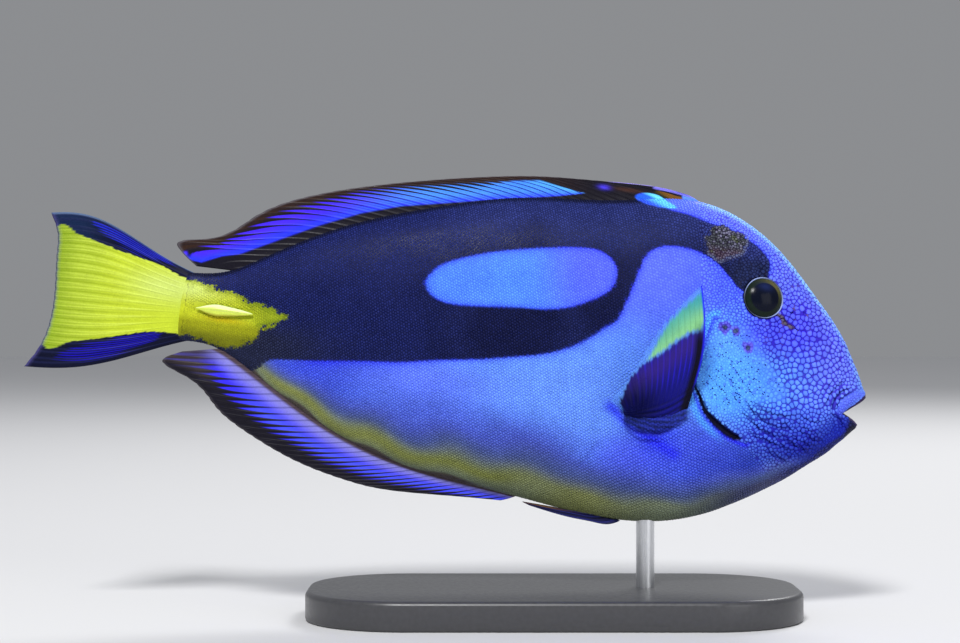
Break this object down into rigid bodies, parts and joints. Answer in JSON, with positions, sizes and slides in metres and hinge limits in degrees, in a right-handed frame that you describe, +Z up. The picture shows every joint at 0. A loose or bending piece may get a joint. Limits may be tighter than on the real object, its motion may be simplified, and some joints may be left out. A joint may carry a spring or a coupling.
{
  "type": "regal blue tang model",
  "caption": "Life-size model of a regal blue tang, a deep flat reef fish with ridged fins and tail blades, swimming nose down on a rod over a rounded base.",
  "frame": {"origin": "centre of the model's box, on the table under the base", "axes": "+X towards the fish's snout, +Y towards its left side, +Z up"},
  "size_m": [0.202, 0.06, 0.1056],
  "materials": {
    "blue_skin": "scaled skin, satin, blue with a black band, a yellow wedge at the tail and an olive belly",
    "tail_fin": "ribbed membrane, yellow between black and blue lobes",
    "fin": "ribbed membrane, blue with black rays and a black edge",
    "eye": "wet gloss",
    "blade": "smooth horn",
    "stand_base": "satin lacquer",
    "stand_rod": "brushed"
  },
  "bodies": {
    "root": {"head": "blue_skin", "trunk": "blue_skin", "tail_stock": "blue_skin", "tail_fin": "tail_fin", "dorsal_fin": "fin", "anal_fin": "fin", "pectoral_fin_left": "fin", "pectoral_fin_right": "fin", "pelvic_fin_left": "fin", "pelvic_fin_right": "fin", "eye_left": "eye", "eye_right": "eye", "tail_blade_left": "blade", "tail_blade_right": "blade", "stand_base": "stand_base", "stand_rod": "stand_rod"}
  },
  "joints": []
}
